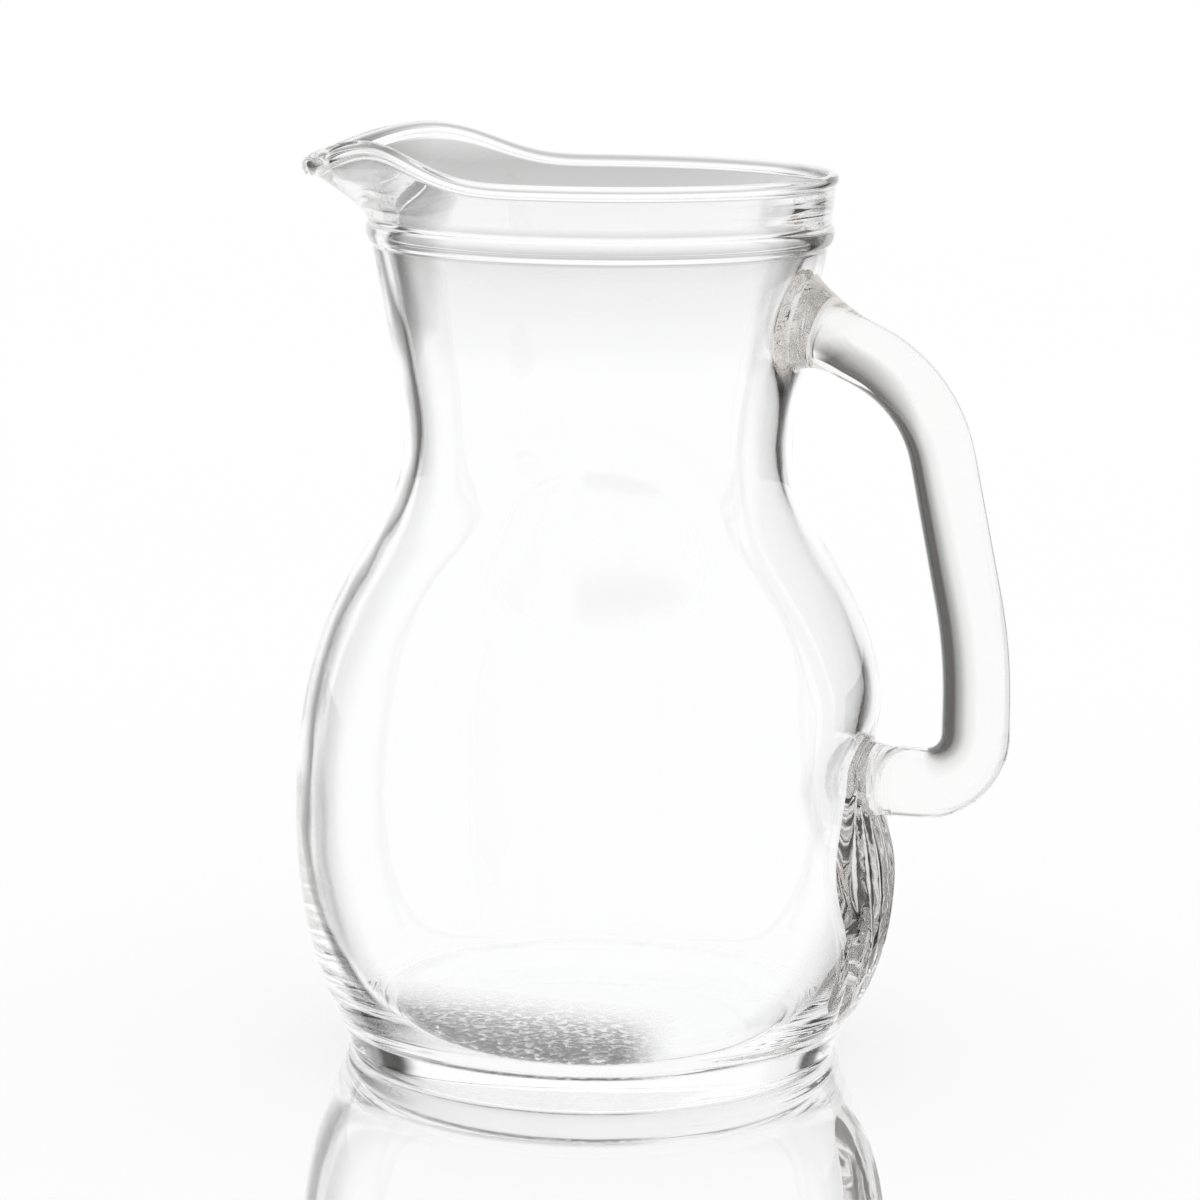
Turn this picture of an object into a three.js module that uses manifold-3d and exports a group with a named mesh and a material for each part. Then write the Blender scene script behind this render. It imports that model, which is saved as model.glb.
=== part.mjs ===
import * as THREE from 'three';
import { mergeVertices } from 'three/addons/utils/BufferGeometryUtils.js';
import Module from 'manifold-3d';

// A clear glass serving jug: a blown vessel with a collar bead, a rolled rim and a pulled spout,
// and a bent glass rod fused to it by a flared seal on the neck and a ribbed seal on the belly.
// Sizes are in millimetres and angles in degrees. The jug stands on z = 0, with its handle
// along +X, its spout along -X, and the middle of its footprint at the origin.

// Foot: a pushed-up base inside a flat bearing ring, and the thick floor above it
const HEEL_RADIUS = 49.6;
const HEEL_CORNER = 2;
const BEARING_WIDTH = 5.6;
const PUSH_UP = 2.2;
const PUSH_UP_FLAT_RADIUS = 31.5;
const FLOOR_HEIGHT = 7;
const FLOOR_SET_IN = 8;
const FLOOR_CORNER = 5;

// Wall, from the heel up
const WALL = 3.2;
const HEEL_RISE = 11;
const HEEL_SPREAD = 4.2;
const BELLY_RADIUS = 60;
const BELLY_HEIGHT = 48.6;
const LOWER_BELLY_FULLNESS = 26;
const SHOULDER_FULLNESS = 48.8;
const WAIST_RADIUS = 38.5;
const WAIST_RISE = 73.7;
const WAIST_FULLNESS = 20.6;
const NECK_RADIUS = 44.6;
const NECK_LENGTH = 41.9;
const NECK_FULLNESS = 9;
const NECK_LEAN = 1.4;

// Collar bead, plain band and rolled rim
const COLLAR_HALF_HEIGHT = 2;
const COLLAR_PROUD = 0.9;
const BAND_STEP = 0.6;
const BAND_HEIGHT = 10.9;
const RIM_STEP = 0.7;
const RIM_ROLL = 1.2;
const RIM_LAP = 60;

// Spout, pulled out of the rim
const SPOUT_TURN = 9;
const SPOUT_PULL = 12;
const SPOUT_SPREAD = 18.5;
const LIP_RISE = 7.05;
const LIP_SKEW = 1.4;
const LIP_SPREAD = 55;
const LIP_SHARPNESS = 5;
const TIP_DROP = 6.2;
const TIP_SPREAD = 16;
const TIP_SWELL = 0.9;
const CHANNEL_LAG = 1.5;

// Handle rod
const ROD_TOP_DIAMETER = 12.6;
const ROD_FOOT_DIAMETER = 13.8;
const ROD_STANDOFF = 17.5;
const UPPER_SLOPE = 25;
const UPPER_BEND_RADIUS = 27;
const GRIP_LEAN = 12;
const GRIP_BEND_RISE = 27;
const GRIP_BEND_RADIUS = 100;
const LOWER_BEND_RADIUS = 10.5;

// Seals of the handle, and the dent that the lower one presses into the belly
const CLEARANCE = 0.3;
const UPPER_SEAL_DROP = 16.2;
const UPPER_SEAL_LENGTH = 9.5;
const UPPER_SEAL_FLARE = 7;
const LOWER_SEAL_RISE = 10.4;
const LOWER_SEAL_LENGTH = 6.5;
const LOWER_SEAL_FLARE = 3;
const DENT_DEPTH = 5.5;
const DENT_HALF_WIDTH = 28;
const DENT_HALF_HEIGHT = 10.5;

// Tail drawn down from the lower seal
const TAIL_FOOT_HEIGHT = 9;
const TAIL_FOOT_HALF_WIDTH = 9;
const TAIL_FOOT_PROUD = 0.8;
const TAIL_PROUD = 1.4;
const TAIL_SPREAD = 6;
const TAIL_DRIFT = 8;
const TAIL_RIBS = 5;
const RIB_DEPTH = 0.7;

// Facets
const ROUND_FACETS = 64;
const LOWER_STEPS = 7;
const SHOULDER_STEPS = 14;
const NECK_STEPS = 5;
const SMALL_STEPS = 3;
const BEAD_STEPS = 5;
const RIM_STEPS = 8;
const ROD_FACETS = 20;
const ROD_STEPS = 44;
const FLARE_FACETS = 30;
const FLARE_STEPS = 7;
const TAIL_STEPS = 12;
const RIB_STEPS = 4;
const WELD = 1e-4;

const { degToRad, radToDeg, smoothstep, lerp } = THREE.MathUtils;
const at = (radius, height) => new THREE.Vector2(radius, height);

const waistHeight = BELLY_HEIGHT + WAIST_RISE;
const collarHeight = waistHeight + NECK_LENGTH;
const collarFoot = collarHeight - COLLAR_HALF_HEIGHT;
const collarTop = collarHeight + COLLAR_HALF_HEIGHT;
const rimHeight = collarHeight + BAND_HEIGHT;
const bandRadius = NECK_RADIUS + BAND_STEP;
const rimRadius = NECK_RADIUS + RIM_STEP;
const upperSealHeight = collarHeight - UPPER_SEAL_DROP;
const lowerSealHeight = BELLY_HEIGHT + LOWER_SEAL_RISE;

// The wall is three smooth curves: heel to belly, belly to waist, waist to collar.
function wallCurves(inset) {
  const heel = at(HEEL_RADIUS - inset, HEEL_CORNER);
  const heelEase = at(HEEL_RADIUS + HEEL_SPREAD - inset, HEEL_CORNER + HEEL_RISE);
  const belly = at(BELLY_RADIUS - inset, BELLY_HEIGHT);
  const bellyUnder = at(BELLY_RADIUS - inset, BELLY_HEIGHT - LOWER_BELLY_FULLNESS);
  const bellyOver = at(BELLY_RADIUS - inset, BELLY_HEIGHT + SHOULDER_FULLNESS);
  const waist = at(WAIST_RADIUS - inset, waistHeight);
  const waistUnder = at(WAIST_RADIUS - inset, waistHeight - WAIST_FULLNESS);
  const waistOver = at(WAIST_RADIUS - inset, waistHeight + NECK_FULLNESS);
  const neckEase = at(NECK_RADIUS - NECK_LEAN - inset, collarFoot - NECK_FULLNESS);
  const neckTop = at(NECK_RADIUS - inset, collarFoot);
  return {
    lower: new THREE.CubicBezierCurve(heel, heelEase, bellyUnder, belly),
    shoulder: new THREE.CubicBezierCurve(belly, bellyOver, waistUnder, waist),
    neck: new THREE.CubicBezierCurve(waist, waistOver, neckEase, neckTop),
  };
}

function outerWall(offset) {
  const { lower, shoulder, neck } = wallCurves(-offset);
  return [
    ...lower.getPoints(LOWER_STEPS),
    ...shoulder.getPoints(SHOULDER_STEPS).slice(1),
    ...neck.getPoints(NECK_STEPS).slice(1),
  ];
}

// Radius of the outer wall at a height between the heel and the collar.
function wallRadius(height) {
  const points = outerWall(0);
  const upper = Math.max(1, points.findIndex((point) => point.y >= height));
  const low = points[upper - 1];
  const high = points[upper];
  return lerp(low.x, high.x, (height - low.y) / (high.y - low.y));
}

// The hot handle end pushes the soft wall inwards: the depth of that dent at a point of the wall.
function dentDepth(angle, radius, height) {
  const across = (angle * radius) / DENT_HALF_WIDTH;
  const along = (height - lowerSealHeight) / DENT_HALF_HEIGHT;
  return DENT_DEPTH * Math.exp(-across * across - along * along);
}

function pressDent(point) {
  const radius = Math.hypot(point.x, point.y);
  const depth = dentDepth(Math.atan2(point.y, point.x), radius, point.z);
  const shrink = radius > depth ? 1 - depth / radius : 1;
  point.set(point.x * shrink, point.y * shrink, point.z);
}

// The soft rim is drawn out into a beak. Its two lips rise beside the channel, the tip drops back
// to the level of the rim, and the roll of the rim is thickest there.
function pullSpout(point, lag) {
  const angle = radToDeg(Math.atan2(point.y, -point.x)) + SPOUT_TURN;
  const share = smoothstep(point.z, collarTop + lag, rimHeight - RIM_ROLL);
  const beak = Math.exp(-((angle / SPOUT_SPREAD) ** 2));
  const rise = LIP_RISE + (LIP_SKEW * angle) / LIP_SPREAD;
  const lips = rise * Math.exp(-(Math.abs(angle / LIP_SPREAD) ** LIP_SHARPNESS));
  const tip = TIP_DROP * Math.exp(-((angle / TIP_SPREAD) ** 2));
  const swell = share < 1 ? 1 : 1 + TIP_SWELL * beak;
  const radius = Math.hypot(point.x, point.y);
  const reach = rimRadius + (radius - rimRadius) * swell + share * beak * SPOUT_PULL;
  const stretch = radius > 0 ? reach / radius : 1;
  const height = rimHeight + (point.z - rimHeight) * swell + share * (lips - tip);
  point.set(point.x * stretch, point.y * stretch, height);
}

// Turns a profile about the jug's axis and reshapes each of its points.
function turned(points, reshape) {
  const geometry = new THREE.LatheGeometry(points, ROUND_FACETS, -Math.PI / 2);
  geometry.rotateX(Math.PI / 2);
  const position = geometry.attributes.position;
  const point = new THREE.Vector3();
  for (let i = 0; i < position.count; i += 1) {
    point.fromBufferAttribute(position, i);
    reshape(point, i % points.length);
    position.setXYZ(i, point.x, point.y, point.z);
  }
  return geometry;
}

// The vessel's profile runs from the middle of the underside up the outside, over the rim, and
// down the inside to the middle of the floor.
function vesselGeometry() {
  const bearingOuter = HEEL_RADIUS - HEEL_CORNER;
  const underside = new THREE.QuadraticBezierCurve(
    at(0, PUSH_UP),
    at(PUSH_UP_FLAT_RADIUS, PUSH_UP),
    at(bearingOuter - BEARING_WIDTH, 0),
  );
  const heel = new THREE.QuadraticBezierCurve(
    at(bearingOuter, 0),
    at(HEEL_RADIUS, 0),
    at(HEEL_RADIUS, HEEL_CORNER),
  );
  const beadReach = (COLLAR_PROUD * 4) / 3;
  const collar = new THREE.CubicBezierCurve(
    at(NECK_RADIUS, collarFoot),
    at(NECK_RADIUS + beadReach, collarFoot),
    at(bandRadius + beadReach, collarTop),
    at(bandRadius, collarTop),
  );
  const lap = degToRad(RIM_LAP);
  const rim = new THREE.EllipseCurve(rimRadius, rimHeight, RIM_ROLL, RIM_ROLL, -lap, Math.PI + lap);
  const inner = wallCurves(WALL);
  const floorEdge = HEEL_RADIUS - FLOOR_SET_IN;
  const bowl = new THREE.CubicBezierCurve(
    at(BELLY_RADIUS - WALL, BELLY_HEIGHT),
    at(BELLY_RADIUS - WALL, BELLY_HEIGHT - LOWER_BELLY_FULLNESS),
    at(floorEdge + FLOOR_CORNER, FLOOR_HEIGHT),
    at(floorEdge, FLOOR_HEIGHT),
  );
  const outside = [
    ...underside.getPoints(SMALL_STEPS),
    ...heel.getPoints(SMALL_STEPS),
    ...outerWall(0).slice(1),
    ...collar.getPoints(BEAD_STEPS).slice(1),
    ...rim.getPoints(RIM_STEPS),
  ];
  const inside = [
    at(bandRadius - WALL, collarTop + CHANNEL_LAG),
    ...inner.neck.getPoints(NECK_STEPS).reverse(),
    ...inner.shoulder.getPoints(SHOULDER_STEPS).reverse().slice(1),
    ...bowl.getPoints(LOWER_STEPS).slice(1),
    at(0, FLOOR_HEIGHT),
  ];
  return turned([...outside, ...inside], (point, index) => {
    pressDent(point);
    pullSpout(point, index < outside.length ? 0 : CHANNEL_LAG);
  });
}

// Solids for joining the parts of a seal and fitting them to the wall.
const manifold = await Module();
manifold.setup();

function solid(geometry) {
  const bare = geometry.clone();
  bare.deleteAttribute('normal');
  bare.deleteAttribute('uv');
  const merged = mergeVertices(bare, WELD);
  return new manifold.Manifold(new manifold.Mesh({
    numProp: 3,
    vertProperties: new Float32Array(merged.attributes.position.array),
    triVerts: new Uint32Array(merged.index.array),
  }));
}

function surface(body) {
  const mesh = body.getMesh();
  const corners = new Float32Array(mesh.vertProperties);
  const geometry = new THREE.BufferGeometry();
  geometry.setAttribute('position', new THREE.BufferAttribute(corners, 3));
  geometry.setIndex(new THREE.BufferAttribute(new Uint32Array(mesh.triVerts), 1));
  geometry.computeVertexNormals();
  return geometry;
}

// A closed skin over rings of points that run the same way round, with a flat cap at each end.
function loft(rings) {
  const count = rings[0].length;
  const geometry = new THREE.BufferGeometry().setFromPoints(rings.flat());
  const index = [];
  for (let ring = 0; ring + 1 < rings.length; ring += 1) {
    for (let side = 0; side < count; side += 1) {
      const a = ring * count + side;
      const b = ring * count + ((side + 1) % count);
      index.push(a, b, b + count, a, b + count, a + count);
    }
  }
  const last = (rings.length - 1) * count;
  for (let side = 1; side + 1 < count; side += 1) {
    index.push(0, side + 1, side);
    index.push(last, last + side, last + side + 1);
  }
  geometry.setIndex(index);
  geometry.computeVertexNormals();
  return geometry;
}

// A circular bend of the rod, in the plane of the handle.
class RodBend extends THREE.Curve {
  constructor(centre, radius, start, sweep) {
    super();
    Object.assign(this, { centre, radius, start, sweep });
  }

  getPoint(t, target = new THREE.Vector3()) {
    const angle = this.start + this.sweep * t;
    const { centre, radius } = this;
    return target.set(centre.x + radius * Math.cos(angle), 0, centre.z + radius * Math.sin(angle));
  }
}

// Straight runs between corners, each corner rounded by its own bend radius.
function bentRod(corners, radii) {
  const path = new THREE.CurvePath();
  let from = corners[0];
  radii.forEach((radius, i) => {
    const corner = corners[i + 1];
    const before = corner.clone().sub(corners[i]).normalize();
    const after = corners[i + 2].clone().sub(corner).normalize();
    const turn = before.angleTo(after);
    const setback = radius * Math.tan(turn / 2);
    const enter = corner.clone().addScaledVector(before, -setback);
    const inward = new THREE.Vector3(before.z, 0, -before.x);
    const centre = enter.clone().addScaledVector(inward, radius);
    path.add(new THREE.LineCurve3(from, enter));
    path.add(new RodBend(centre, radius, Math.atan2(-inward.z, -inward.x), -turn));
    from = corner.clone().addScaledVector(after, setback);
  });
  path.add(new THREE.LineCurve3(from, corners.at(-1)));
  return path;
}

// The rod's run: out of the neck on a slope, over the upper bend, down the leaning grip, round
// the lower bend and level into the belly.
const slope = degToRad(UPPER_SLOPE);
const upperAxis = new THREE.Vector3(Math.cos(slope), 0, -Math.sin(slope));
const lowerAxis = new THREE.Vector3(1, 0, 0);
const upperSeat = new THREE.Vector3(wallRadius(upperSealHeight), 0, upperSealHeight);
const lowerSeat = new THREE.Vector3(wallRadius(lowerSealHeight) - DENT_DEPTH, 0, lowerSealHeight);

function handleGeometry() {
  const reach = BELLY_RADIUS + ROD_STANDOFF;
  const gripFoot = new THREE.Vector3(reach, 0, lowerSealHeight + GRIP_BEND_RISE);
  const lean = Math.tan(degToRad(GRIP_LEAN));
  const overhang = gripFoot.x - upperSeat.x + lean * (gripFoot.z - upperSeat.z);
  const upperRun = overhang / (upperAxis.x + lean * upperAxis.z);
  const corners = [
    upperSeat.clone().addScaledVector(upperAxis, UPPER_SEAL_LENGTH + CLEARANCE),
    upperSeat.clone().addScaledVector(upperAxis, upperRun),
    gripFoot,
    new THREE.Vector3(reach, 0, lowerSealHeight),
    lowerSeat.clone().addScaledVector(lowerAxis, LOWER_SEAL_LENGTH + CLEARANCE),
  ];
  const path = bentRod(corners, [UPPER_BEND_RADIUS, GRIP_BEND_RADIUS, LOWER_BEND_RADIUS]);
  const across = new THREE.Vector3(0, 1, 0);
  const rings = [];
  for (let step = 0; step <= ROD_STEPS; step += 1) {
    const share = step / ROD_STEPS;
    const centre = path.getPointAt(share);
    const outward = across.clone().cross(path.getTangentAt(share)).normalize();
    const radius = lerp(ROD_TOP_DIAMETER, ROD_FOOT_DIAMETER, share) / 2;
    const ring = [];
    for (let side = 0; side < ROD_FACETS; side += 1) {
      const angle = (side / ROD_FACETS) * 2 * Math.PI;
      const point = centre.clone();
      point.addScaledVector(outward, -radius * Math.cos(angle));
      point.addScaledVector(across, -radius * Math.sin(angle));
      ring.push(point);
    }
    rings.push(ring);
  }
  return loft(rings);
}

// The jug's outer wall as a filled form, grown by the seals' clearance and carried up to the rim.
function wallForm() {
  const wall = outerWall(CLEARANCE);
  const profile = [at(0, HEEL_CORNER), ...wall, at(wall.at(-1).x, rimHeight), at(0, rimHeight)];
  return solid(turned(profile, pressDent));
}

// A flared end: the rod's section, spreading in a fillet as it sinks into the wall.
function flaredEnd(seat, axis, rodDiameter, length, flare) {
  const radius = rodDiameter / 2;
  const fillet = new THREE.QuadraticBezierCurve(
    at(radius + flare, -flare),
    at(radius, 0),
    at(radius, length),
  );
  const profile = [at(0, -flare), ...fillet.getPoints(FLARE_STEPS), at(0, length)];
  const geometry = new THREE.LatheGeometry(profile, FLARE_FACETS);
  const turn = new THREE.Quaternion().setFromUnitVectors(new THREE.Vector3(0, 1, 0), axis);
  geometry.applyQuaternion(turn);
  geometry.translate(seat.x, seat.y, seat.z);
  return solid(geometry);
}

function upperSealGeometry() {
  const end = flaredEnd(upperSeat, upperAxis, ROD_TOP_DIAMETER, UPPER_SEAL_LENGTH, UPPER_SEAL_FLARE);
  return surface(end.subtract(wallForm()));
}

// The tail: a tongue of glass drawn down the belly, with ribs left by the tool, as rings across
// the wall from just above the heel to the middle of the seal.
function tailSolid() {
  const columns = TAIL_RIBS * RIB_STEPS;
  const rings = [];
  for (let step = 0; step <= TAIL_STEPS; step += 1) {
    const share = step / TAIL_STEPS;
    const height = lerp(TAIL_FOOT_HEIGHT, lowerSealHeight, share);
    const radius = wallRadius(height);
    const bulge = Math.sin(Math.PI * share * share);
    const stem = lerp(TAIL_FOOT_HALF_WIDTH, ROD_FOOT_DIAMETER / 2, share);
    const halfWidth = stem + TAIL_SPREAD * bulge;
    const proud = lerp(TAIL_FOOT_PROUD, TAIL_PROUD, share);
    const outer = [];
    const inner = [];
    for (let column = 0; column <= columns; column += 1) {
      const across = (column / columns) * 2 - 1;
      const angle = (across * halfWidth - TAIL_DRIFT * bulge) / radius;
      const rib = (RIB_DEPTH * (1 - Math.cos((across + 1) * Math.PI * TAIL_RIBS))) / 2;
      const crown = proud * (1 - across ** 4) + rib * (1 - across ** 2);
      const wall = radius - dentDepth(angle, radius, height);
      const outward = new THREE.Vector3(Math.cos(angle), Math.sin(angle), 0);
      outer.push(outward.clone().multiplyScalar(wall + crown).setZ(height));
      inner.unshift(outward.clone().multiplyScalar(wall - WALL).setZ(height));
    }
    rings.push([...outer, ...inner]);
  }
  return solid(loft(rings));
}

function lowerSealGeometry() {
  const end = flaredEnd(lowerSeat, lowerAxis, ROD_FOOT_DIAMETER, LOWER_SEAL_LENGTH, LOWER_SEAL_FLARE);
  return surface(end.add(tailSolid()).subtract(wallForm()));
}

function piece(name, geometry, colour, roughness) {
  const material = new THREE.MeshStandardMaterial({ color: colour, roughness, metalness: 0 });
  const mesh = new THREE.Mesh(geometry, material);
  mesh.name = name;
  return mesh;
}

const jug = new THREE.Group();
jug.add(piece('vessel', vesselGeometry(), 0xe8ebec, 0.04));
jug.add(piece('handle', handleGeometry(), 0xe4e3e2, 0.03));
jug.add(piece('upper_handle_seal', upperSealGeometry(), 0xdedad6, 0.05));
jug.add(piece('lower_handle_seal', lowerSealGeometry(), 0xdcdad8, 0.08));

// The middle of the footprint, from spout tip to handle, stands on the origin.
const middle = new THREE.Box3().setFromObject(jug).getCenter(new THREE.Vector3());
jug.position.set(-middle.x, -middle.y, 0);

export default jug;
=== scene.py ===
from bisect import bisect_left
from math import atan2, cos, degrees, exp, hypot, pi, radians, sin, sqrt, tan

import bmesh
import bpy
from mathutils import Matrix, Vector, geometry, noise


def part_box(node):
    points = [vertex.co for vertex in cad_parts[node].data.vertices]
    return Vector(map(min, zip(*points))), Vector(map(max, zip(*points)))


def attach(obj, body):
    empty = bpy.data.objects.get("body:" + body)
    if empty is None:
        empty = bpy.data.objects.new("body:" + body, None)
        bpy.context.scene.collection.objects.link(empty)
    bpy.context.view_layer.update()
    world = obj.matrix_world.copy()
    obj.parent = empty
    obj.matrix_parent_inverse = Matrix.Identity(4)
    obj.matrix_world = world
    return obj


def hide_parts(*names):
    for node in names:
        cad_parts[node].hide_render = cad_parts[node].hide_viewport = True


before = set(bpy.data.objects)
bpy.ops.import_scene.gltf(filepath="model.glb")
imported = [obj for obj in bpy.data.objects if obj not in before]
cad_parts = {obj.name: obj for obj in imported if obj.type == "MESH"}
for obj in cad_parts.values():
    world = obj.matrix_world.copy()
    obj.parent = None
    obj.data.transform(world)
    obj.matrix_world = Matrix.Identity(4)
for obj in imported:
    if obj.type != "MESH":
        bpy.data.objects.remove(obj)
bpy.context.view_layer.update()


# Vessel: the body of the jug, blown in a mould from one gather of clear soda-lime glass and
# fire-polished. The rim is rolled and, while it is soft, pulled out into the spout. The inside
# is left faintly uneven by the blowing.
wall_thickness = 0.0032
push_up, push_up_radius = 0.0022, 0.042
bearing_radius = 0.0476
heel_radius, heel_height = 0.0496, 0.002
heel_spread, heel_rise = 0.0042, 0.011
belly_radius, belly_height = 0.060, 0.0486
lower_belly_fullness, shoulder_fullness = 0.026, 0.0488
waist_radius, waist_height, waist_fullness = 0.0385, 0.1223, 0.0206
neck_radius, neck_fullness, neck_lean = 0.0446, 0.009, 0.0014
collar_foot, collar_top, collar_bulge = 0.1622, 0.1662, 0.0012
band_radius, band_top = 0.0452, 0.17406
rim_height, rim_radius, rim_roll = 0.1751, 0.0453, 0.0012
rim_steps, rim_start, rim_sweep = 18, -60, 300
lip_radius, lip_height = 0.042, 0.1677
floor_height, floor_radius, floor_corner = 0.007, 0.0416, 0.005
upper_seal_height, lower_seal_height = 0.148, 0.059
axis_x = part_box("vessel")[0].x + belly_radius


def curve(start, leave, arrive, end, count):
    """Points of the jug's outline between two (radius, height) corners, bent by two handles."""
    corners = [Vector((radius, 0.0, height)) for radius, height in (start, leave, arrive, end)]
    return geometry.interpolate_bezier(*corners, count)


underside = curve((0, push_up), (0.021, push_up), (0.035, 0.00147), (push_up_radius, 0), 14)
bearing_ring = curve((push_up_radius, 0), (0.0439, 0), (0.0457, 0), (bearing_radius, 0), 6)
heel = curve((bearing_radius, 0), (0.0487, 0), (heel_radius, 0.0009), (heel_radius, heel_height), 7)
lower_wall = curve(
    (heel_radius, heel_height),
    (heel_radius + heel_spread, heel_height + heel_rise),
    (belly_radius, belly_height - lower_belly_fullness),
    (belly_radius, belly_height),
    34,
)
shoulder = curve(
    (belly_radius, belly_height),
    (belly_radius, belly_height + shoulder_fullness),
    (waist_radius, waist_height - waist_fullness),
    (waist_radius, waist_height),
    56,
)
neck = curve(
    (waist_radius, waist_height),
    (waist_radius, waist_height + neck_fullness),
    (neck_radius - neck_lean, collar_foot - neck_fullness),
    (neck_radius, collar_foot),
    30,
)
collar = curve(
    (neck_radius, collar_foot),
    (neck_radius + collar_bulge, collar_foot),
    (band_radius + collar_bulge, collar_top),
    (band_radius, collar_top),
    12,
)
band = curve((band_radius, collar_top), (0.0454, 0.1688), (0.0457, 0.1714), (0.0459, band_top), 10)
rim = [
    Vector((rim_radius + rim_roll * cos(turn), 0.0, rim_height + rim_roll * sin(turn)))
    for turn in (radians(rim_start + rim_sweep * step / rim_steps) for step in range(rim_steps + 1))
]
inner_band = curve((0.0447, band_top), (0.0438, 0.172), (0.0429, 0.1698), (lip_radius, lip_height), 10)
inner_lip = curve(
    (lip_radius, lip_height),
    (0.0419, 0.1660),
    (0.0416, 0.1640),
    (neck_radius - wall_thickness, collar_foot),
    6,
)
inner_neck = [point - Vector((wall_thickness, 0, 0)) for point in reversed(neck)]
inner_shoulder = [point - Vector((wall_thickness, 0, 0)) for point in reversed(shoulder)]
bowl = curve(
    (belly_radius - wall_thickness, belly_height),
    (belly_radius - wall_thickness, belly_height - lower_belly_fullness),
    (floor_radius + floor_corner, floor_height),
    (floor_radius, floor_height),
    44,
)
inner_floor = curve(
    (floor_radius, floor_height), (0.028, floor_height), (0.014, floor_height), (0, floor_height), 20
)

wall = lower_wall + shoulder[1:] + neck[1:]
outside = underside + bearing_ring[1:] + heel[1:] + wall[1:] + collar[1:] + band[1:] + rim[1:]
inside = inner_band[1:] + inner_lip[1:] + inner_neck[1:] + inner_shoulder[1:]
inside += bowl[1:] + inner_floor[1:]
wall_heights = [point.z for point in wall]


def wall_radius(height):
    """Radius of the outer wall at a height between the heel and the collar."""
    upper = min(max(bisect_left(wall_heights, height), 1), len(wall) - 1)
    low, high = wall[upper - 1], wall[upper]
    return low.x + (high.x - low.x) * (height - low.z) / (high.z - low.z)


dent_depth, dent_half_width, dent_half_height = 0.0055, 0.028, 0.0105


def dent(turn, radius, height):
    """Depth of the hollow that the hot end of the handle pressed into the belly."""
    across = turn * radius / dent_half_width
    along = (height - lower_seal_height) / dent_half_height
    return dent_depth * exp(-across * across - along * along)


def wall_point(turn, height, proud=0.0):
    """Point of the outer wall, or that far proud of it, at a turn about the jug's axis."""
    radius = wall_radius(height)
    radius += proud - dent(turn, radius, height)
    return Vector((radius * cos(turn), radius * sin(turn), height))


def clamp(share):
    """A share, held between nothing and all."""
    return min(max(share, 0), 1)


# The spout's turn and spreads are in degrees about the jug's axis.
spout_turn, spout_spread, spout_pull, spout_flare = 9, 18.5, 0.012, 1.2
beak_lip_rise, beak_lip_skew, beak_lip_spread, beak_lip_sharpness = 0.00705, 0.0014, 55, 5
tip_drop, tip_spread, tip_swell = 0.0062, 16, 0.9
channel_lag = 0.0015


def pull_spout(point, start):
    """Draws the soft rim out into a beak with two raised lips and a low, thick tip."""
    turn = degrees(atan2(point.y, -point.x)) + spout_turn
    share = clamp((point.z - start) / (rim_height - rim_roll - start))
    beak = exp(-((turn / spout_spread) ** 2))
    lips = beak_lip_rise + beak_lip_skew * turn / beak_lip_spread
    lips *= exp(-(abs(turn / beak_lip_spread) ** beak_lip_sharpness))
    tip = tip_drop * exp(-((turn / tip_spread) ** 2))
    swell = 1 if share < 1 else 1 + tip_swell * beak
    share **= spout_flare
    radius = hypot(point.x, point.y)
    reach = rim_radius + (radius - rim_radius) * swell + share * beak * spout_pull
    height = rim_height + (point.z - rim_height) * swell + share * (lips - tip)
    return Vector((point.x * reach / radius, point.y * reach / radius, height))


# Where the underside's stippling and painted shade lie: a patch on the side that faces the camera.
stipple_radius, stipple_fade = 0.0415, 0.002
toward_camera = Vector((0.309, -0.951, 0))
camera_left = Vector((-0.951, -0.309, 0))
front_edge, front_blend, front_lean = 0.05, 0.4, 0.3
side_edge, side_blend = -0.35, 0.2


def stipple_and_shade_share(point, radius):
    """How much stippling and painted shade a point of the underside carries: most on the side that
    faces the camera, fading out towards the rim.
    """
    front = point.dot(toward_camera) / stipple_radius
    side = point.dot(camera_left) / stipple_radius
    kept = clamp((front + front_lean * side - front_edge) / front_blend)
    kept *= clamp((side - side_edge) / side_blend)
    return kept * clamp((stipple_radius - radius) / stipple_fade)


broad_ripple, broad_scale = 0.00012, 45
fine_ripple, fine_scale = 0.00004, 130
ripple_start, ripple_blend = 0.012, 0.03
swelling_depth, swelling_radius = 0.0014, 0.009


def unevenness(point, radius):
    """How far the blown inside stands off its true form, with a swelling behind the upper seal."""
    ripple = broad_ripple * noise.noise(point * broad_scale)
    ripple += fine_ripple * noise.noise(point * fine_scale)
    ripple *= clamp((point.z - ripple_start) / ripple_blend)
    away = (point - Vector((radius, 0, upper_seal_height))).length / swelling_radius
    return ripple - swelling_depth * exp(-away * away)


weld, on_axis = 1e-6, 1e-5
underside_top = 0.0023
upper_joint_slot, lower_joint_slot, stipple_and_shade_slot = 1, 2, 3
seal_joint_slot = 1

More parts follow.
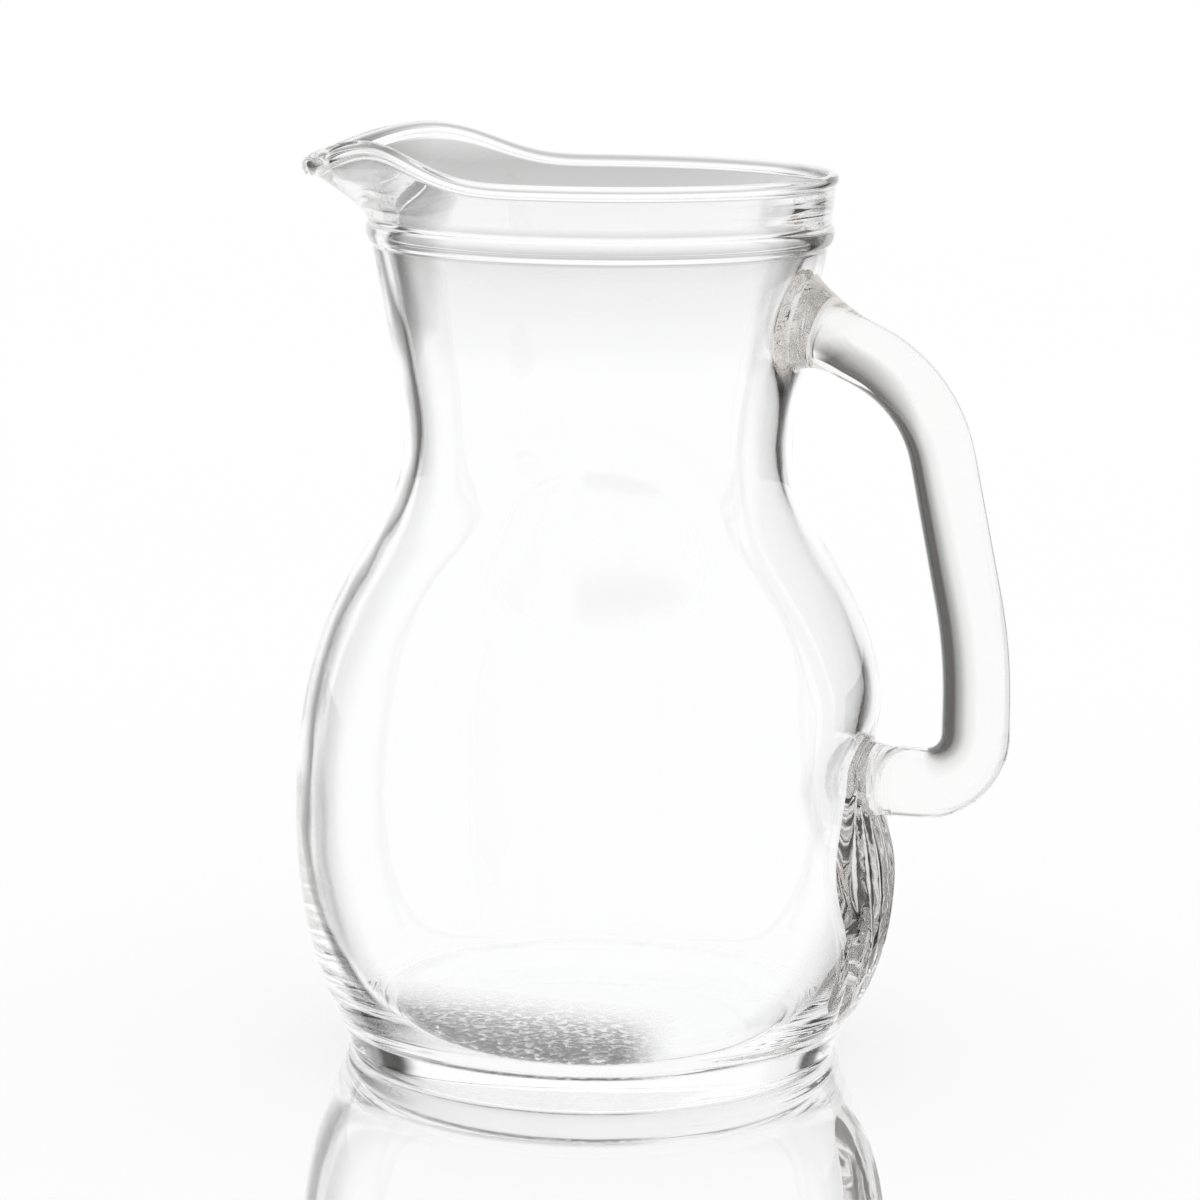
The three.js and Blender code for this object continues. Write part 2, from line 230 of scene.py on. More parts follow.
vessel_mesh = bmesh.new()
inner_side = vessel_mesh.verts.layers.float.new("inner_side")
# Share of the underside's stippling and painted shade at each corner.
stipple_and_shade = vessel_mesh.verts.layers.float.new("stipple_and_shade")
column = [vessel_mesh.verts.new(point) for point in outside + inside]
for corner in column[len(outside):]:
    corner[inner_side] = 1
for pair in zip(column, column[1:]):
    vessel_mesh.edges.new(pair)
bmesh.ops.spin(
    vessel_mesh,
    geom=vessel_mesh.verts[:] + vessel_mesh.edges[:],
    cent=(0, 0, 0),
    axis=(0, 0, 1),
    angle=2 * pi,
    steps=160,
    use_merge=True,
)
bmesh.ops.remove_doubles(vessel_mesh, verts=vessel_mesh.verts[:], dist=weld)
for corner in vessel_mesh.verts:
    radius = hypot(corner.co.x, corner.co.y)
    if radius < on_axis:
        continue
    # The underside near the camera gets stippling and painted shade.
    if corner.co.z < underside_top and radius < stipple_radius:
        corner[stipple_and_shade] = stipple_and_shade_share(corner.co, radius)
    depth = dent(atan2(corner.co.y, corner.co.x), radius, corner.co.z)
    push = unevenness(corner.co, radius) * corner[inner_side] - depth
    corner.co.xy *= 1 + push / radius
    corner.co = pull_spout(corner.co, collar_top + channel_lag * corner[inner_side])
for face in vessel_mesh.faces:
    if any(corner[stipple_and_shade] for corner in face.verts):
        face.material_index = stipple_and_shade_slot


def open_seat(centre, turns, heights, outline, joint_slot):
    """Rebuilds the wall in rings round a seal's outline, so that wall and seal share that edge.
    The faces inside the outline, where glass runs into glass, are returned as a mesh."""
    centre_turn, centre_height = centre
    scale = wall_radius(centre_height)
    taken = []
    for face in vessel_mesh.faces:
        middle = face.calc_center_median()
        beside = turns[0] < atan2(middle.y, middle.x) < turns[1]
        level = heights[0] < middle.z < heights[1]
        if beside and level and not any(corner[inner_side] for corner in face.verts):
            taken.append(face)
    bmesh.ops.delete(vessel_mesh, geom=taken, context="FACES")
    loop = [edge for edge in vessel_mesh.edges if edge.is_boundary]
    joined = []
    round_rings, seat_rings = 7, 6
    for ring in range(round_rings + seat_rings):
        grown = bmesh.ops.extrude_edge_only(vessel_mesh, edges=loop)["geom"]
        corners = [item for item in grown if isinstance(item, bmesh.types.BMVert)]
        faces = [item for item in grown if isinstance(item, bmesh.types.BMFace)]
        loop = [item for item in grown if isinstance(item, bmesh.types.BMEdge) and item.is_boundary]
        for corner in corners:
            turn = atan2(corner.co.y, corner.co.x) - centre_turn
            across, up = turn * scale, corner.co.z - centre_height
            reach = hypot(across, up)
            heading = atan2(up, across)
            if ring < round_rings:
                wanted = reach + (outline(heading) - reach) / (round_rings - ring)
            else:
                wanted = reach * (1 - 1 / (round_rings + seat_rings - ring))
            across, up = wanted * cos(heading), wanted * sin(heading)
            corner.co = wall_point(centre_turn + across / scale, centre_height + up)
        if ring >= round_rings:
            joined += faces
    bmesh.ops.remove_doubles(vessel_mesh, verts=corners, dist=weld)
    seat_mesh = bmesh.new()
    copied = {}
    for face in joined:
        if not face.is_valid:
            continue
        face.material_index = joint_slot
        for corner in face.verts:
            if corner not in copied:
                copied[corner] = seat_mesh.verts.new(corner.co)
        seat = seat_mesh.faces.new([copied[corner] for corner in face.verts])
        seat.material_index = seal_joint_slot
    return seat_mesh


upper_pad_half_width, upper_pad_half_height = 0.0084, 0.0097


def upper_outline(heading):
    """Edge of the upper seal: an oval pad, a little taller than wide."""
    return 1 / hypot(cos(heading) / upper_pad_half_width, sin(heading) / upper_pad_half_height)


upper_seat = open_seat(
    centre=(0, upper_seal_height),
    turns=(-0.31, 0.31),
    heights=(0.1335, 0.1605),
    outline=upper_outline,
    joint_slot=upper_joint_slot,
)

lower_end_radius = 0.0088
tail_foot, tail_foot_half_width, tail_foot_round = 0.0085, 0.009, 0.12
tail_taper, tail_spread, tail_drift = 0.0021, 0.006, 0.008


def tail_edges(height):
    """Left and right edge of the tongue of glass below the lower seal, across the wall."""
    share = (height - tail_foot) / (lower_seal_height - tail_foot)
    if not 0 < share < 1:
        return None
    bulge = sin(pi * share * share)
    half = tail_foot_half_width - tail_taper * share + tail_spread * bulge
    rounding = min(1, share / tail_foot_round)
    half *= sqrt(rounding * (2 - rounding))
    return -tail_drift * bulge - half, -tail_drift * bulge + half


lower_centre_across, lower_centre_height = -0.002, 0.038
lower_outline_limit, lower_outline_halvings = 0.05, 24


def lower_outline(heading):
    """Edge of the lower seal: the rod's round end with the tongue drawn down from it."""
    near, far = 0.0, lower_outline_limit
    for halving in range(lower_outline_halvings):
        reach = (near + far) / 2
        across = lower_centre_across + reach * cos(heading)
        height = lower_centre_height + reach * sin(heading)
        edges = tail_edges(height)
        in_tail = edges is not None and edges[0] < across < edges[1]
        in_end = hypot(across, height - lower_seal_height) < lower_end_radius
        if in_tail or in_end:
            near = reach
        else:
            far = reach
    return near


lower_scale = wall_radius(lower_centre_height)
lower_seat = open_seat(
    centre=(lower_centre_across / lower_scale, lower_centre_height),
    turns=(-0.46, 0.235),
    heights=(0.0045, 0.0745),
    outline=lower_outline,
    joint_slot=lower_joint_slot,
)
bmesh.ops.recalc_face_normals(vessel_mesh, faces=vessel_mesh.faces[:])


def glass(name, tint, ripple_scale, ripple_strength):
    """Clear glass with a faint tint that drifts through it and soft ripples on its skin."""
    material = bpy.data.materials.new(name)
    material.use_nodes = True
    nodes, links = material.node_tree.nodes, material.node_tree.links
    shader = nodes["Principled BSDF"]
    shader.inputs["Roughness"].default_value = 0.0
    shader.inputs["IOR"].default_value = 1.5
    shader.inputs["Transmission Weight"].default_value = 1.0
    place = nodes.new("ShaderNodeTexCoord")
    drift = nodes.new("ShaderNodeTexNoise")
    drift.inputs["Scale"].default_value = 22
    drift.inputs["Detail"].default_value = 2
    tint_drift = 0.008
    shade = nodes.new("ShaderNodeValToRGB")
    shade.color_ramp.elements[0].color = (*[value - tint_drift for value in tint], 1)
    shade.color_ramp.elements[1].color = (*tint, 1)
    ripple = nodes.new("ShaderNodeTexNoise")
    ripple.inputs["Scale"].default_value = ripple_scale
    ripple.inputs["Detail"].default_value = 3
    relief = nodes.new("ShaderNodeBump")
    relief.inputs["Strength"].default_value = ripple_strength
    relief.inputs["Distance"].default_value = 0.0004
    links.new(place.outputs["Object"], drift.inputs["Vector"])
    links.new(place.outputs["Object"], ripple.inputs["Vector"])
    links.new(drift.outputs["Fac"], shade.inputs["Fac"])
    links.new(shade.outputs["Color"], shader.inputs["Base Color"])
    links.new(ripple.outputs["Fac"], relief.inputs["Height"])
    links.new(relief.outputs["Normal"], shader.inputs["Normal"])
    return material


def joint(name, painted_shade):
    """Where one piece of glass runs into the next there is no surface, so the faces there are clear.
    They carry painted shade: a grey colour that dims the light crossing the joint."""
    material = bpy.data.materials.new(name)
    material.use_nodes = True
    nodes = material.node_tree.nodes
    nodes.remove(nodes["Principled BSDF"])
    clear = nodes.new("ShaderNodeBsdfTransparent")
    clear.inputs["Color"].default_value = (*painted_shade, 1)
    material.node_tree.links.new(clear.outputs["BSDF"], nodes["Material Output"].inputs["Surface"])
    return material


# Painted shade: the upper joint's grey darkens the light through the upper seal; the lower joint's
# grey is fainter.
upper_joint = joint("upper_joint", (0.80, 0.77, 0.745))
lower_joint = joint("lower_joint", (0.95, 0.945, 0.94))


def stand(mesh, name, finishes):
    """Puts a finished piece in the place of its CAD node."""
    bmesh.ops.translate(mesh, verts=mesh.verts[:], vec=(axis_x, 0, 0))
    for face in mesh.faces:
        face.smooth = True
    data = bpy.data.meshes.new(name)
    mesh.to_mesh(data)
    mesh.free()
    piece = bpy.data.objects.new(name + "_glass", data)
    bpy.context.scene.collection.objects.link(piece)
    for finish in finishes:
        data.materials.append(finish)
    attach(piece, "root")
    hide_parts(name)


vessel_tint = (0.998, 0.999, 1.0)
vessel_glass = glass("vessel_glass", vessel_tint, ripple_scale=140, ripple_strength=0.035)

# The underside carries fine stippling from the mould, as rough bumps, and painted shade: a dark,
# speckled base colour that stands in for the shade seen through the base.
# Both are kept on the side of the underside that faces the camera.
stippled_glass_with_painted_shade = glass("stippled_base_glass_with_painted_shade", vessel_tint, ripple_scale=1100, ripple_strength=0.5)
stipple_nodes, stipple_links = stippled_glass_with_painted_shade.node_tree.nodes, stippled_glass_with_painted_shade.node_tree.links
stipple_shader = stipple_nodes["Principled BSDF"]
stipple_shader.inputs["Roughness"].default_value = 0.12
stipple_place = stipple_nodes.new("ShaderNodeTexCoord")
painted_shade_grain = stipple_nodes.new("ShaderNodeTexNoise")
painted_shade_grain.inputs["Scale"].default_value = 620
painted_shade_grain.inputs["Detail"].default_value = 5
painted_shade_speck = stipple_nodes.new("ShaderNodeMapRange")
painted_shade_speck.inputs["From Min"].default_value = 0.62
painted_shade_speck.inputs["From Max"].default_value = 0.50
painted_shade_mask = stipple_nodes.new("ShaderNodeAttribute")
painted_shade_mask.attribute_name = "stipple_and_shade"
painted_shade_share = stipple_nodes.new("ShaderNodeMath")
painted_shade_share.operation = "MULTIPLY"
painted_shade_mix = stipple_nodes.new("ShaderNodeMix")
painted_shade_mix.data_type = "RGBA"
painted_shade_mix.inputs[6].default_value = (*vessel_tint, 1)
# Painted shade: the dark colour that the underside's glass turns to.
painted_shade_mix.inputs[7].default_value = (0.03, 0.028, 0.026, 1)
stipple_links.new(stipple_place.outputs["Object"], painted_shade_grain.inputs["Vector"])
stipple_links.new(painted_shade_grain.outputs["Fac"], painted_shade_speck.inputs["Value"])
stipple_links.new(painted_shade_speck.outputs["Result"], painted_shade_share.inputs[0])
stipple_links.new(painted_shade_mask.outputs["Fac"], painted_shade_share.inputs[1])
stipple_links.new(painted_shade_share.outputs["Value"], painted_shade_mix.inputs["Factor"])
stipple_links.new(painted_shade_mix.outputs[2], stipple_shader.inputs["Base Color"])
stand(
    vessel_mesh,
    "vessel",
    [vessel_glass, upper_joint, lower_joint, stippled_glass_with_painted_shade],
)


# Upper handle seal: the hot end of the handle rod, pressed onto the neck. It spreads into an
# oval pad that is fused to the wall, with a hollow fillet up to the rod.
rod_top_radius = 0.0063
upper_slope = radians(25)
upper_seal_length = 0.0095
upper_axis = Vector((cos(upper_slope), 0, -sin(upper_slope)))
upper_up = Vector((sin(upper_slope), 0, cos(upper_slope)))
across_jug = Vector((0, 1, 0))
upper_seat_point = Vector((wall_radius(upper_seal_height), 0, upper_seal_height))
upper_rod_end = upper_seat_point + upper_axis * upper_seal_length
skin_slot, rod_slot = 0, 2


def harden_joint_edges(mesh):
    """Keeps the edge sharp where a piece's skin meets the faces of a joint."""
    for edge in mesh.edges:
        if len({face.material_index for face in edge.link_faces}) > 1:
            edge.smooth = False


def grow_seal(mesh, rings, place):
    """Takes a seat as the underside of a seal and grows the skin from its edge, ring by ring, to
    the round end of the rod. place(edge point, ring) gives each point of the skin."""
    edge_x = mesh.verts.layers.float.new("edge_x")
    edge_y = mesh.verts.layers.float.new("edge_y")
    edge_z = mesh.verts.layers.float.new("edge_z")
    for corner in mesh.verts:
        corner[edge_x], corner[edge_y], corner[edge_z] = corner.co
    loop = [edge for edge in mesh.edges if edge.is_boundary]
    for ring in range(1, rings + 1):
        grown = bmesh.ops.extrude_edge_only(mesh, edges=loop)["geom"]
        loop = [item for item in grown if isinstance(item, bmesh.types.BMEdge) and item.is_boundary]
        for item in grown:
            if isinstance(item, bmesh.types.BMVert):
                item.co = place(Vector((item[edge_x], item[edge_y], item[edge_z])), ring)
            elif isinstance(item, bmesh.types.BMFace):
                item.material_index = skin_slot
    for face in bmesh.ops.edgeloop_fill(mesh, edges=loop)["faces"]:
        face.material_index = rod_slot
    bmesh.ops.recalc_face_normals(mesh, faces=mesh.faces[:])
    harden_joint_edges(mesh)


upper_fillet_rings = 12
pad_thickness, pad_share = 0.0012, 0.8
rod_run_in = 0.002


def upper_skin(edge, ring):
    """Fillet from the pad's edge to the rod's end."""
    turn = atan2(edge.y, edge.x)
    up = edge.z - upper_seal_height
    heading = atan2(up, turn * wall_radius(upper_seal_height))
    outward = across_jug * cos(heading) + upper_up * sin(heading)
    rod_edge = upper_rod_end + outward * rod_top_radius
    under = wall_point(turn * pad_share, upper_seal_height + up * pad_share, pad_thickness)
    before_rod = rod_edge - upper_axis * rod_run_in
    points = geometry.interpolate_bezier(edge, under, before_rod, rod_edge, upper_fillet_rings + 1)
    return points[ring]


grow_seal(upper_seat, upper_fillet_rings, upper_skin)
rod_joint = joint("rod_joint", (1, 1, 1))
seal_glass = glass(
    "upper_seal_glass", (0.965, 0.962, 0.958), ripple_scale=180, ripple_strength=0.04
)
stand(upper_seat, "upper_handle_seal", [seal_glass, upper_joint, rod_joint])


# Handle: a solid rod of clear glass, drawn hot, bent over at the top, down the grip and back in
# to the belly. It thickens towards the foot.
rod_foot_radius = 0.0069
rod_standoff = 0.0175
grip_lean, grip_bend_rise = tan(radians(12)), 0.027
upper_bend, grip_bend, lower_bend = 0.027, 0.100, 0.0105
lower_seal_length = 0.0065
rod_step, least_bend_steps, bend_step_degrees, foot_steps = 0.0025, 6, 4, 4
rod_facets, rod_end_slot = 72, 1
grip_reach = belly_radius + rod_standoff
lower_rod_end = Vector(
    (wall_radius(lower_seal_height) - dent_depth + lower_seal_length, 0, lower_seal_height)
)
grip_foot = Vector((grip_reach, 0, lower_seal_height + grip_bend_rise))
overhang = grip_foot.x - upper_seat_point.x + grip_lean * (grip_foot.z - upper_seat_point.z)
upper_run = overhang / (upper_axis.x + grip_lean * upper_axis.z)
upper_corner = upper_seat_point + upper_axis * upper_run
lower_corner = Vector((grip_reach, 0, lower_seal_height))
rod_run = [upper_rod_end]
for before, corner, after, bend in (
    (upper_rod_end, upper_corner, grip_foot, upper_bend),
    (upper_corner, grip_foot, lower_corner, grip_bend),
    (grip_foot, lower_corner, lower_rod_end, lower_bend),
):
    inward, onward = (corner - before).normalized(), (after - corner).normalized()
    turn = inward.angle(onward)
    setback = bend * tan(turn / 2)
    enter = corner - inward * setback
    straight = (enter - rod_run[-1]).length
    steps = max(1, round(straight / rod_step))
    rod_run += [rod_run[-1].lerp(enter, step / steps) for step in range(1, steps + 1)]
    pivot = enter + Vector((inward.z, 0, -inward.x)) * bend
    steps = max(least_bend_steps, round(degrees(turn) / bend_step_degrees))
    rod_run += [
        pivot + Matrix.Rotation(turn * step / steps, 3, "Y") @ (enter - pivot)
        for step in range(1, steps + 1)
    ]
last_bend = rod_run[-1]
rod_run += [last_bend.lerp(lower_rod_end, step / foot_steps) for step in range(1, foot_steps + 1)]

rod_lengths = [0.0]
for here, there in zip(rod_run, rod_run[1:]):
    rod_lengths.append(rod_lengths[-1] + (there - here).length)


def rod_place(step):
    """Where the rod's section lies at a step of its run: its middle, facing and thickness."""
    ahead = rod_run[min(step + 1, len(rod_run) - 1)] - rod_run[max(step - 1, 0)]
    if step == 0:
        ahead = upper_axis.copy()
    if step == len(rod_run) - 1:
        ahead = Vector((-1, 0, 0))
    ahead.normalize()
    facing = Matrix((across_jug, ahead.cross(across_jug), ahead)).transposed().to_4x4()
    swell = (rod_foot_radius - rod_top_radius) * rod_lengths[step] / rod_lengths[-1]
    return Matrix.Translation(rod_run[step]) @ facing @ Matrix.Scale(rod_top_radius + swell, 4)


handle_mesh = bmesh.new()
bmesh.ops.create_circle(
    handle_mesh, cap_ends=False, segments=rod_facets, radius=1.0, matrix=rod_place(0)
)
top_end = handle_mesh.edges[:]
foot_end = top_end
for step in range(1, len(rod_run)):
    grown = bmesh.ops.extrude_edge_only(handle_mesh, edges=foot_end)["geom"]
    corners = [item for item in grown if isinstance(item, bmesh.types.BMVert)]
    foot_end = [item for item in grown if isinstance(item, bmesh.types.BMEdge) and item.is_boundary]
    bmesh.ops.transform(
        handle_mesh, matrix=rod_place(step) @ rod_place(step - 1).inverted(), verts=corners
    )
for end in (top_end, foot_end):
    for face in bmesh.ops.edgeloop_fill(handle_mesh, edges=end)["faces"]:
        face.material_index = rod_end_slot
bmesh.ops.recalc_face_normals(handle_mesh, faces=handle_mesh.faces[:])
harden_joint_edges(handle_mesh)
handle_glass = glass("handle_glass", (0.972, 0.97, 0.968), ripple_scale=90, ripple_strength=0.05)
stand(handle_mesh, "handle", [handle_glass, rod_joint])


# Lower handle seal: the other end of the rod, pushed into the soft belly so that it dents the
# wall, then drawn down into a tongue that the tool left ribbed.
tongue_rings, lower_fillet_rings = 12, 8
tongue_thickness, tongue_root_radius, tongue_edge_steepness = 0.0012, 0.0078, 3
tail_ribs, rib_depth, rib_drift, rib_drift_scale = 5, 0.0008, 0.0004, 90
fillet_share, fillet_draw_in = 0.35, 0.001


def lower_skin(edge, ring):
    """Tongue and fillet from the seal's edge to the rod's end."""
    turn = atan2(edge.y, edge.x)
    across, up = turn * lower_scale, edge.z - lower_seal_height
    heading = atan2(up, across)
    root_across, root_up = tongue_root_radius * cos(heading), tongue_root_radius * sin(heading)
    share = min(1, ring / tongue_rings)
    here = across + (root_across - across) * share
    height = lower_seal_height + up + (root_up - up) * share
    edges = tail_edges(height)
    swell = sqrt(1 - (1 - min(1, share * tongue_edge_steepness)) ** 2)
    rib = 0.0
    if edges is not None:
        middle = 2 * (here - edges[0]) / (edges[1] - edges[0]) - 1
        drawn = rib_depth + rib_drift * noise.noise(Vector((0, 0, height * rib_drift_scale)))
        rib = drawn * (0.5 - 0.5 * cos(tail_ribs * pi * (middle + 1)))
    skin = wall_point(here / lower_scale, height, swell * (tongue_thickness + rib))
    if ring <= tongue_rings:
        return skin
    outward = across_jug * cos(heading) + Vector((0, 0, 1)) * sin(heading)
    rod_edge = lower_rod_end + outward * rod_foot_radius
    inner = skin.lerp(rod_edge, fillet_share) + Vector((-fillet_draw_in, 0, 0))
    before_rod = rod_edge - Vector((rod_run_in, 0, 0))
    points = geometry.interpolate_bezier(skin, inner, before_rod, rod_edge, lower_fillet_rings + 1)
    return points[ring - tongue_rings]


grow_seal(lower_seat, tongue_rings + lower_fillet_rings, lower_skin)
ribbed_glass = glass(
    "lower_seal_glass", (0.962, 0.958, 0.954), ripple_scale=200, ripple_strength=0.04
)
stand(lower_seat, "lower_handle_seal", [ribbed_glass, lower_joint, rod_joint])


# Floor: a sheet of glossy white acrylic under the jug, laid well past the frame. It mirrors the
# jug and, to light that has met the glass, is nearly all mirror, so it stays as white as the room.
def sheet(name, rails, finish):
    """A card of the set, stretched over rails of (point, cover); it is no part of the jug."""
    mesh = bmesh.new()
    cover = mesh.verts.layers.float.new("cover")
    rows = []
    for rail in rails:
        rows.append([mesh.verts.new(point) for point, share in rail])
        for corner, (point, share) in zip(rows[-1], rail):
            corner[cover] = share
        for pair in zip(rows[-1], rows[-1][1:]):
            mesh.edges.new(pair)
    for low, high in zip(rows, rows[1:]):
        for left, right, far_right, far_left in zip(low, low[1:], high[1:], high):
            mesh.faces.new((left, right, far_right, far_left))
    data = bpy.data.meshes.new(name)
    mesh.to_mesh(data)
    mesh.free()
    data.materials.append(finish)
    piece = bpy.data.objects.new(name, data)
    bpy.context.scene.collection.objects.link(piece)
    return piece


acrylic = bpy.data.materials.new("white_acrylic")
acrylic.use_nodes = True
acrylic_nodes, acrylic_links = acrylic.node_tree.nodes, acrylic.node_tree.links
acrylic_body = acrylic_nodes["Principled BSDF"]
acrylic_body.inputs["Base Color"].default_value = (0.98, 0.98, 0.98, 1)
acrylic_body.inputs["Roughness"].default_value = 0.03
acrylic_gloss = acrylic_nodes.new("ShaderNodeBsdfGlossy")
acrylic_gloss.inputs["Color"].default_value = (1, 1, 1, 1)
acrylic_gloss.inputs["Roughness"].default_value = 0.02
acrylic_mix = acrylic_nodes.new("ShaderNodeMixShader")
acrylic_path = acrylic_nodes.new("ShaderNodeLightPath")
acrylic_share = acrylic_nodes.new("ShaderNodeMapRange")
acrylic_share.inputs["To Min"].default_value = 0.97
acrylic_share.inputs["To Max"].default_value = 0.72
acrylic_links.new(acrylic_path.outputs["Is Camera Ray"], acrylic_share.inputs["Value"])
acrylic_links.new(acrylic_share.outputs["Result"], acrylic_mix.inputs["Fac"])
acrylic_links.new(acrylic_body.outputs["BSDF"], acrylic_mix.inputs[1])
acrylic_links.new(acrylic_gloss.outputs["BSDF"], acrylic_mix.inputs[2])
acrylic_links.new(acrylic_mix.outputs["Shader"], acrylic_nodes["Material Output"].inputs["Surface"])
floor_level, floor_half = -0.00015, 6
sheet(
    "floor",
    [
        [(Vector((x, y, floor_level)), 1) for x in (-floor_half, floor_half)]
        for y in (-floor_half, floor_half)
    ],
    acrylic,
)


# Studio: a plain white room all round, with a narrow dark wall on either side behind the jug.
# Only light that has crossed one to three faces of glass, as in the rod, the seals and the heel,
# or that was mirrored twice, meets the dark walls, which give the thick glass its edges.
view_turn = radians(18)
world = bpy.data.worlds.new("studio")
world.use_nodes = True
bpy.context.scene.world = world
world.cycles.sampling_method = "NONE"
room_nodes, room_links = world.node_tree.nodes, world.node_tree.links
room_place = room_nodes.new("ShaderNodeTexCoord")
room_turn = room_nodes.new("ShaderNodeMapping")
room_turn.inputs["Rotation"].default_value = (0, 0, -view_turn)
room_axes = room_nodes.new("ShaderNodeSeparateXYZ")
room_bearing = room_nodes.new("ShaderNodeMath")
room_bearing.operation = "ARCTAN2"
room_share = room_nodes.new("ShaderNodeMapRange")
room_share.inputs["From Min"].default_value = -pi
room_share.inputs["From Max"].default_value = pi
room_walls = room_nodes.new("ShaderNodeValToRGB")
white = (1, 1, 1, 1)
left_dark, right_dark = (0.01, 0.009, 0.008, 1), (0.01, 0.008, 0.006, 1)
room_walls.color_ramp.elements[0].color = white
for bearing, colour in (
    (-68, white),
    (-57, left_dark),
    (-48, left_dark),
    (-44, white),
    (32, white),
    (37, right_dark),
    (66, right_dark),
    (77, white),
):
    room_walls.color_ramp.elements.new(bearing / 360 + 0.5).color = colour
room_path = room_nodes.new("ShaderNodeLightPath")
room_solid = room_nodes.new("ShaderNodeMath")
room_solid.operation = "COMPARE"
room_solid.inputs[1].default_value = 2
room_solid.inputs[2].default_value = 1.2
room_turns = room_nodes.new("ShaderNodeMath")
room_turns.operation = "ADD"
room_twice = room_nodes.new("ShaderNodeMath")
room_twice.operation = "COMPARE"
room_twice.inputs[1].default_value = 2
room_twice.inputs[2].default_value = 0.2
room_dark = room_nodes.new("ShaderNodeMath")
room_dark.operation = "MAXIMUM"
room_mix = room_nodes.new("ShaderNodeMix")
room_mix.data_type = "RGBA"
room_mix.inputs[6].default_value = white
room_links.new(room_place.outputs["Generated"], room_turn.inputs["Vector"])
room_links.new(room_turn.outputs["Vector"], room_axes.inputs["Vector"])
room_links.new(room_axes.outputs["X"], room_bearing.inputs[0])
room_links.new(room_axes.outputs["Y"], room_bearing.inputs[1])
room_links.new(room_bearing.outputs["Value"], room_share.inputs["Value"])
room_links.new(room_share.outputs["Result"], room_walls.inputs["Fac"])
room_links.new(room_path.outputs["Transmission Depth"], room_solid.inputs[0])
room_links.new(room_path.outputs["Transmission Depth"], room_turns.inputs[0])
room_links.new(room_path.outputs["Glossy Depth"], room_turns.inputs[1])
room_links.new(room_turns.outputs["Value"], room_twice.inputs[0])
room_links.new(room_solid.outputs["Value"], room_dark.inputs[0])
room_links.new(room_twice.outputs["Value"], room_dark.inputs[1])
room_links.new(room_dark.outputs["Value"], room_mix.inputs["Factor"])
room_links.new(room_walls.outputs["Color"], room_mix.inputs[7])
room_links.new(room_mix.outputs[2], room_nodes["Background"].inputs["Color"])


# Flags: dark cards behind the jug, which show only to light that has gone through the glass. They
# fade out at their edges, as cards out of focus do, and give the clear glass its outline.
flag_paint = bpy.data.materials.new("flag_paint")
flag_paint.use_nodes = True
flag_nodes, flag_links = flag_paint.node_tree.nodes, flag_paint.node_tree.links
flag_nodes.remove(flag_nodes["Principled BSDF"])
flag_dark = flag_nodes.new("ShaderNodeEmission")
flag_dark.inputs["Color"].default_value = (0.05, 0.04, 0.035, 1)
flag_clear = flag_nodes.new("ShaderNodeBsdfTransparent")
flag_cover = flag_nodes.new("ShaderNodeAttribute")
flag_cover.attribute_name = "cover"
flag_path = flag_nodes.new("ShaderNodeLightPath")
flag_seen = flag_nodes.new("ShaderNodeMath")
flag_seen.operation = "MINIMUM"
flag_seen.inputs[1].default_value = 1
flag_share = flag_nodes.new("ShaderNodeMath")
flag_share.operation = "MULTIPLY"
flag_mix = flag_nodes.new("ShaderNodeMixShader")
flag_links.new(flag_path.outputs["Transmission Depth"], flag_seen.inputs[0])
flag_links.new(flag_seen.outputs["Value"], flag_share.inputs[0])
flag_links.new(flag_cover.outputs["Fac"], flag_share.inputs[1])
flag_links.new(flag_share.outputs["Value"], flag_mix.inputs["Fac"])
flag_links.new(flag_clear.outputs["BSDF"], flag_mix.inputs[1])
flag_links.new(flag_dark.outputs["Emission"], flag_mix.inputs[2])
flag_links.new(flag_mix.outputs["Shader"], flag_nodes["Material Output"].inputs["Surface"])


def flag(name, back, rails):
    """A flag that far behind the jug's axis, seen from the camera, by rails of points that give
    how far right and how high they are and how much the card covers there."""
    turned = Matrix.Translation((axis_x, 0, 0)) @ Matrix.Rotation(view_turn, 4, "Z")
    placed = [
        [(turned @ Vector((right, back, height)), cover) for right, height, cover in rail]
        for rail in rails
    ]
    piece = sheet(name, placed, flag_paint)
    piece.visible_camera = False
    piece.visible_shadow = False


def faded(columns, rows):
    """Rails of a flag that fades both ways: the cover of each row of (height, cover), thinned by
    the share of each column of (right, share)."""
    return [
        [(right, height, cover * share) for right, share in columns] for height, cover in rows
    ]


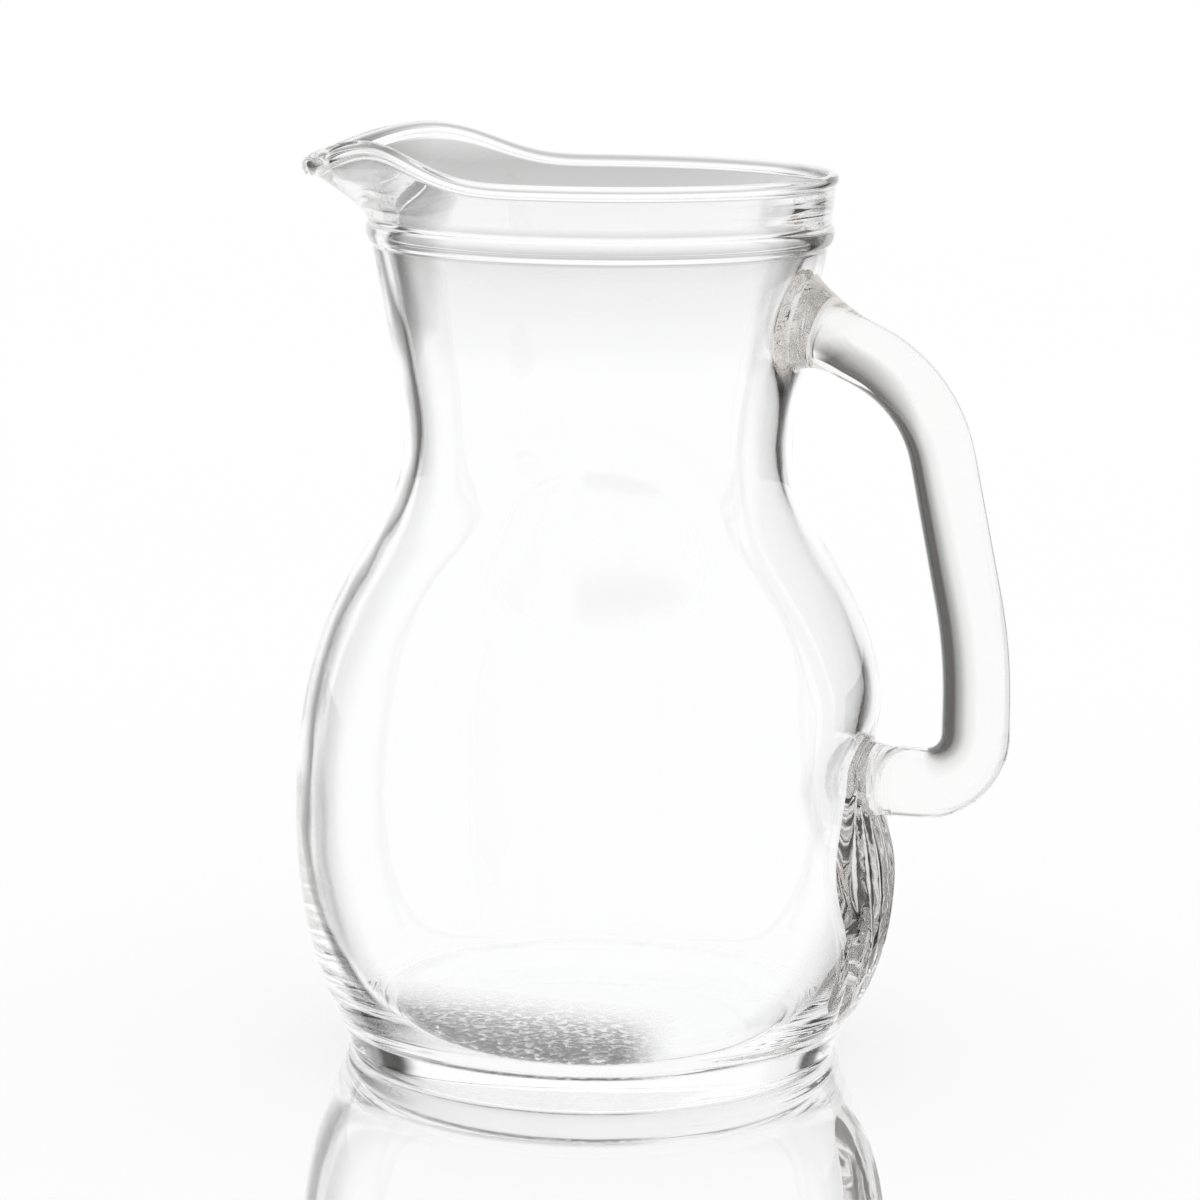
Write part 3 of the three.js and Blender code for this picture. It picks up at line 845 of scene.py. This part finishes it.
left_edge = (
    (0.185, -0.046),
    (0.150, -0.052),
    (0.135, -0.055),
    (0.122, -0.078),
    (0.105, -0.088),
    (0.080, -0.095),
    (0.060, -0.098),
    (0.045, -0.092),
    (0.030, -0.086),
    (0.0, -0.086),
)
left_fade = ((0.012, 0), (0, 0.55), (-0.014, 0.9), (-0.030, 0.9), (-0.045, 0))
flag(
    "left_flag",
    back=0.075,
    rails=[[(edge + out, height, cover) for height, edge in left_edge] for out, cover in left_fade],
)
right_fade = (
    (0.080, 0),
    (0.100, 0.22),
    (0.114, 0.6),
    (0.126, 0.78),
    (0.136, 0.95),
    (0.150, 1),
    (0.165, 0),
)
right_flag_top = 0.2
flag(
    "right_flag",
    back=0.075,
    rails=[[(right, height, cover) for height in (0, right_flag_top)] for right, cover in right_fade],
)
flag(
    "back_flag",
    back=0.077,
    rails=faded(
        columns=((-0.085, 0), (-0.06, 1), (0.06, 1), (0.085, 0)),
        rows=(
            (0.126, 0),
            (0.146, 0.15),
            (0.158, 0.38),
            (0.168, 0.5),
            (0.174, 0.3),
            (0.180, 0),
        ),
    ),
)
flag(
    "upper_flag",
    back=0.079,
    rails=faded(
        columns=((0.040, 0), (0.062, 1), (0.115, 1), (0.130, 0)),
        rows=(
            (0.124, 0),
            (0.136, 0.3),
            (0.148, 0.5),
            (0.160, 0.7),
            (0.172, 0.9),
            (0.200, 1),
        ),
    ),
)


# Camera: a long lens at the photograph's viewpoint, on the handle's near side and a little above
# the rim. Light needs many bounces to find its way out of thick clear glass.
camera_away, camera_aside, camera_height = 0.7299, 0.00067, 0.2287
camera_dip, camera_roll = radians(10.70), radians(0.567)
camera_data = bpy.data.cameras.new("camera")
camera_data.sensor_width = 36
camera_data.lens = 111.84
camera_data.clip_start, camera_data.clip_end = 0.05, 30
camera = bpy.data.objects.new("camera", camera_data)
bpy.context.scene.collection.objects.link(camera)
camera.matrix_world = (
    Matrix.Translation((axis_x, 0, 0))
    @ Matrix.Rotation(view_turn, 4, "Z")
    @ Matrix.Translation((camera_aside, -camera_away, camera_height))
    @ Matrix.Rotation(pi / 2 - camera_dip, 4, "X")
    @ Matrix.Rotation(camera_roll, 4, "Z")
)
bpy.context.scene.camera = camera
bpy.context.scene.view_settings.view_transform = "Standard"
bounces = 256
cycles = bpy.context.scene.cycles
cycles.max_bounces = bounces
cycles.transmission_bounces = bounces
cycles.glossy_bounces = bounces
cycles.transparent_max_bounces = bounces

bpy.context.view_layer.update()
